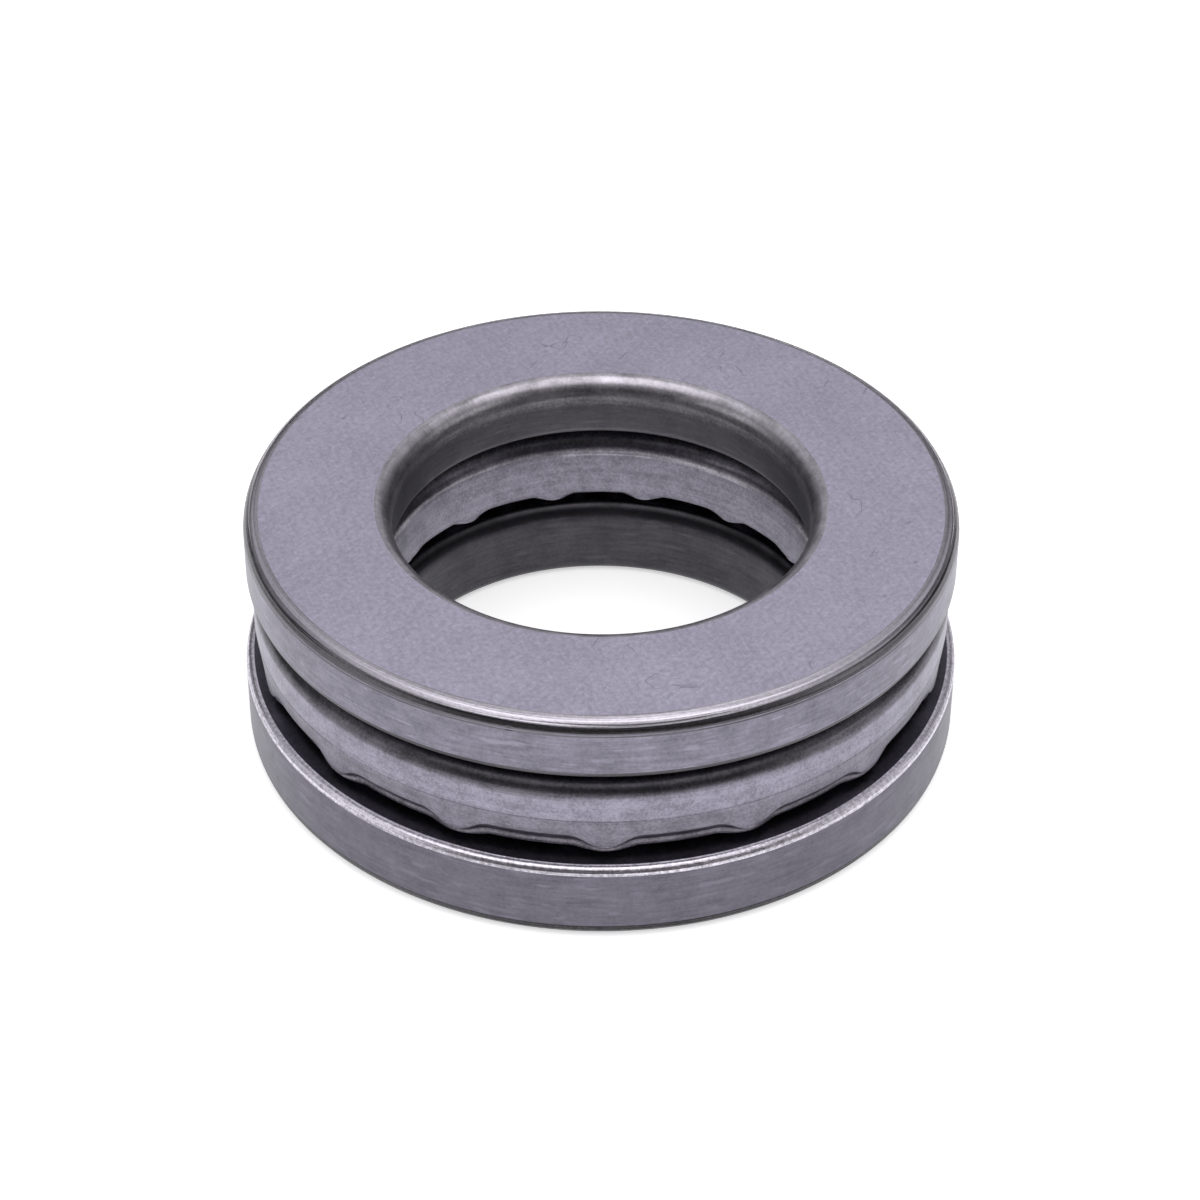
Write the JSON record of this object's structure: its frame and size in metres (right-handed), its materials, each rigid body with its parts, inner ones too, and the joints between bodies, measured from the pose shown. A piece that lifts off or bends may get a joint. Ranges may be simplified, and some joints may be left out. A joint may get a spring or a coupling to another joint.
{
  "type": "thrust ball bearing",
  "caption": "Single-direction thrust ball bearing: a housing washer and a shaft washer with a ring of balls between them in a pressed-steel cage.",
  "frame": {"origin": "on the bearing's axis, at the bottom face of the housing washer", "axes": "+Z along the bearing's axis, from the housing washer to the shaft washer; -Y is the front"},
  "size_m": [0.052, 0.052, 0.0185],
  "materials": {
    "washer_steel": "ground bearing steel, satin, with fine turned lines on the rims",
    "cage_steel": "pressed sheet steel, tumbled satin",
    "ball_steel": "lapped and polished"
  },
  "bodies": {
    "housing_washer": {"housing_washer": "washer_steel"},
    "shaft_washer": {"shaft_washer": "washer_steel"},
    "cage": {"cage": "cage_steel"},
    "ball_01": {"ball_01": "ball_steel"},
    "ball_02": {"ball_02": "ball_steel"},
    "ball_03": {"ball_03": "ball_steel"},
    "ball_04": {"ball_04": "ball_steel"},
    "ball_05": {"ball_05": "ball_steel"},
    "ball_06": {"ball_06": "ball_steel"},
    "ball_07": {"ball_07": "ball_steel"},
    "ball_08": {"ball_08": "ball_steel"},
    "ball_09": {"ball_09": "ball_steel"},
    "ball_10": {"ball_10": "ball_steel"},
    "ball_11": {"ball_11": "ball_steel"},
    "ball_12": {"ball_12": "ball_steel"},
    "ball_13": {"ball_13": "ball_steel"},
    "ball_14": {"ball_14": "ball_steel"},
    "ball_15": {"ball_15": "ball_steel"}
  },
  "joints": [
    {"name": "shaft_washer_spin", "type": "hinge", "parent": "housing_washer", "child": "shaft_washer", "pos_m": [0, 0, 0.0161], "axis": [0, 0, 1], "continuous": true},
    {"name": "cage_spin", "type": "hinge", "parent": "housing_washer", "child": "cage", "pos_m": [0, 0, 0.0099], "axis": [0, 0, 1], "continuous": true},
    {"name": "ball_01_roll", "type": "hinge", "parent": "cage", "child": "ball_01", "pos_m": [0, -0.0206, 0.00997], "axis": [0, -1, 0], "continuous": true},
    {"name": "ball_02_roll", "type": "hinge", "parent": "cage", "child": "ball_02", "pos_m": [0.00838, -0.01882, 0.00997], "axis": [0.4067, -0.9135, 0], "continuous": true},
    {"name": "ball_03_roll", "type": "hinge", "parent": "cage", "child": "ball_03", "pos_m": [0.01531, -0.01378, 0.00997], "axis": [0.7431, -0.6691, 0], "continuous": true},
    {"name": "ball_04_roll", "type": "hinge", "parent": "cage", "child": "ball_04", "pos_m": [0.01959, -0.00637, 0.00997], "axis": [0.9511, -0.309, 0], "continuous": true},
    {"name": "ball_05_roll", "type": "hinge", "parent": "cage", "child": "ball_05", "pos_m": [0.02049, 0.00215, 0.00997], "axis": [0.9945, 0.1045, 0], "continuous": true},
    {"name": "ball_06_roll", "type": "hinge", "parent": "cage", "child": "ball_06", "pos_m": [0.01784, 0.0103, 0.00997], "axis": [0.866, 0.5, 0], "continuous": true},
    {"name": "ball_07_roll", "type": "hinge", "parent": "cage", "child": "ball_07", "pos_m": [0.01211, 0.01667, 0.00997], "axis": [0.5878, 0.809, 0], "continuous": true},
    {"name": "ball_08_roll", "type": "hinge", "parent": "cage", "child": "ball_08", "pos_m": [0.00428, 0.02015, 0.00997], "axis": [0.2079, 0.9781, 0], "continuous": true},
    {"name": "ball_09_roll", "type": "hinge", "parent": "cage", "child": "ball_09", "pos_m": [-0.00428, 0.02015, 0.00997], "axis": [-0.2079, 0.9781, 0], "continuous": true},
    {"name": "ball_10_roll", "type": "hinge", "parent": "cage", "child": "ball_10", "pos_m": [-0.01211, 0.01667, 0.00997], "axis": [-0.5878, 0.809, 0], "continuous": true},
    {"name": "ball_11_roll", "type": "hinge", "parent": "cage", "child": "ball_11", "pos_m": [-0.01784, 0.0103, 0.00997], "axis": [-0.866, 0.5, 0], "continuous": true},
    {"name": "ball_12_roll", "type": "hinge", "parent": "cage", "child": "ball_12", "pos_m": [-0.02049, 0.00215, 0.00997], "axis": [-0.9945, 0.1045, 0], "continuous": true},
    {"name": "ball_13_roll", "type": "hinge", "parent": "cage", "child": "ball_13", "pos_m": [-0.01959, -0.00637, 0.00997], "axis": [-0.9511, -0.309, 0], "continuous": true},
    {"name": "ball_14_roll", "type": "hinge", "parent": "cage", "child": "ball_14", "pos_m": [-0.01531, -0.01378, 0.00997], "axis": [-0.7431, -0.6691, 0], "continuous": true},
    {"name": "ball_15_roll", "type": "hinge", "parent": "cage", "child": "ball_15", "pos_m": [-0.00838, -0.01882, 0.00997], "axis": [-0.4067, -0.9135, 0], "continuous": true}
  ],
  "couplings": [
    {"joint": "cage_spin", "follows": "shaft_washer_spin", "ratio": 0.5},
    {"joint": "ball_01_roll", "follows": "shaft_washer_spin", "ratio": -2.575},
    {"joint": "ball_02_roll", "follows": "shaft_washer_spin", "ratio": -2.575},
    {"joint": "ball_03_roll", "follows": "shaft_washer_spin", "ratio": -2.575},
    {"joint": "ball_04_roll", "follows": "shaft_washer_spin", "ratio": -2.575},
    {"joint": "ball_05_roll", "follows": "shaft_washer_spin", "ratio": -2.575},
    {"joint": "ball_06_roll", "follows": "shaft_washer_spin", "ratio": -2.575},
    {"joint": "ball_07_roll", "follows": "shaft_washer_spin", "ratio": -2.575},
    {"joint": "ball_08_roll", "follows": "shaft_washer_spin", "ratio": -2.575},
    {"joint": "ball_09_roll", "follows": "shaft_washer_spin", "ratio": -2.575},
    {"joint": "ball_10_roll", "follows": "shaft_washer_spin", "ratio": -2.575},
    {"joint": "ball_11_roll", "follows": "shaft_washer_spin", "ratio": -2.575},
    {"joint": "ball_12_roll", "follows": "shaft_washer_spin", "ratio": -2.575},
    {"joint": "ball_13_roll", "follows": "shaft_washer_spin", "ratio": -2.575},
    {"joint": "ball_14_roll", "follows": "shaft_washer_spin", "ratio": -2.575},
    {"joint": "ball_15_roll", "follows": "shaft_washer_spin", "ratio": -2.575}
  ]
}
